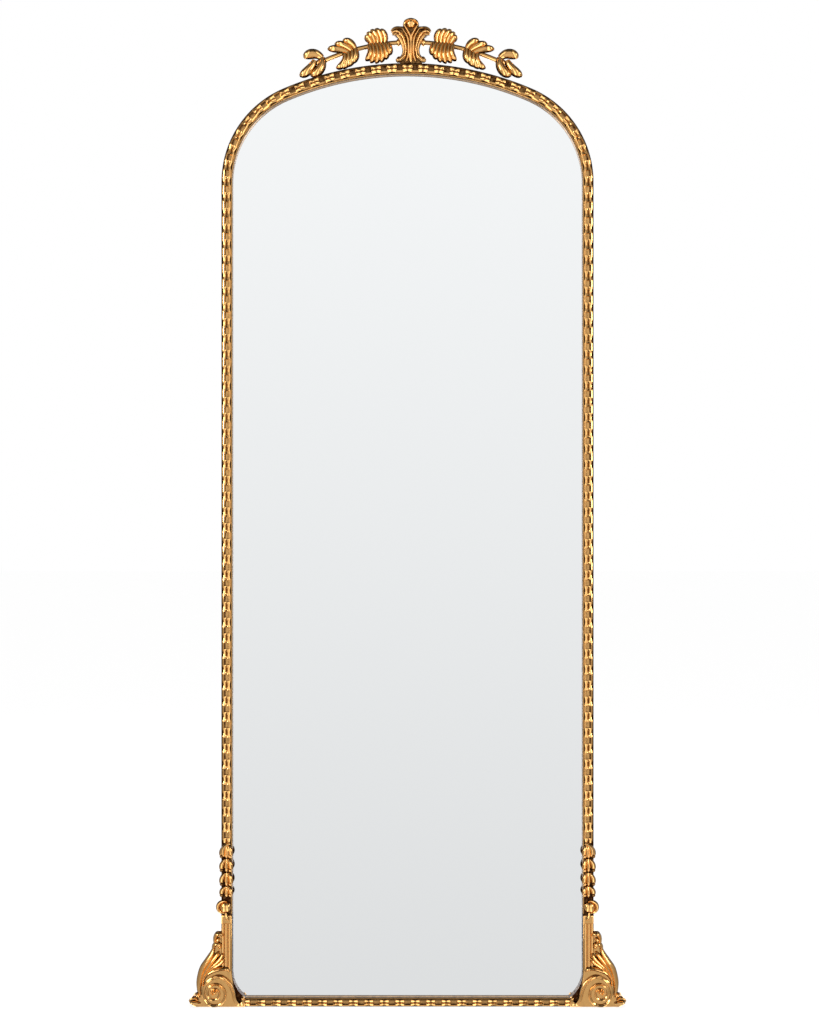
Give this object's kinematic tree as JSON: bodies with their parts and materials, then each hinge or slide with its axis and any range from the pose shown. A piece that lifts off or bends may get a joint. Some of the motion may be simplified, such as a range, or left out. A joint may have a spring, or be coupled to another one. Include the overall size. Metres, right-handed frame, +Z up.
{
  "type": "wall mirror",
  "caption": "Tall arched wall mirror in a beaded cast gold frame with scrolled feet and a leafy palmette crest, board back and hinged D-ring hangers",
  "frame": {"origin": "middle of the bottom edge, on the back plane of the frame that lies towards the wall", "axes": "+Z up, -Y towards the viewer, +X to the viewer's right; the back plane is y = 0"},
  "size_m": [0.765, 0.04, 1.7302],
  "materials": {
    "gold_casting": "polished antique gold plating on a cast frame",
    "silvered_glass": "clear silvered float glass",
    "black_foam": "thin black foam mounting tape",
    "fibreboard": "plain brown medium-density fibreboard",
    "zinc_steel": "bright zinc-plated steel",
    "clear_rubber": "soft translucent rubber"
  },
  "bodies": {
    "frame": {"crown_moulding": "gold_casting", "left_shoulder_moulding": "gold_casting", "right_shoulder_moulding": "gold_casting", "left_stile_moulding": "gold_casting", "right_stile_moulding": "gold_casting", "bottom_rail_moulding": "gold_casting", "left_husk_drop": "gold_casting", "right_husk_drop": "gold_casting", "left_rosette": "gold_casting", "right_rosette": "gold_casting", "left_corner_scroll": "gold_casting", "right_corner_scroll": "gold_casting", "branch_rod": "gold_casting", "crest_palmette": "gold_casting", "crest_pins": "zinc_steel", "left_inner_leaves": "gold_casting", "right_inner_leaves": "gold_casting", "left_middle_leaves": "gold_casting", "right_middle_leaves": "gold_casting", "left_outer_leaves": "gold_casting", "right_outer_leaves": "gold_casting", "mirror_glass": "silvered_glass", "spacer_tape": "black_foam", "backboard": "fibreboard", "board_screws": "zinc_steel", "hanger_screws": "zinc_steel", "left_hanger_strap": "zinc_steel", "right_hanger_strap": "zinc_steel", "wall_bumpers": "clear_rubber"},
    "left_hanger_ring": {"left_hanger_ring": "zinc_steel"},
    "right_hanger_ring": {"right_hanger_ring": "zinc_steel"}
  },
  "joints": [
    {"name": "left_ring_hinge", "type": "hinge", "parent": "frame", "child": "left_hanger_ring", "pos_m": [-0.2005, -0.003, 1.29], "axis": [1, 0, 0], "range_deg": [0, 180]},
    {"name": "right_ring_hinge", "type": "hinge", "parent": "frame", "child": "right_hanger_ring", "pos_m": [0.2005, -0.003, 1.29], "axis": [1, 0, 0], "range_deg": [0, 180]}
  ]
}
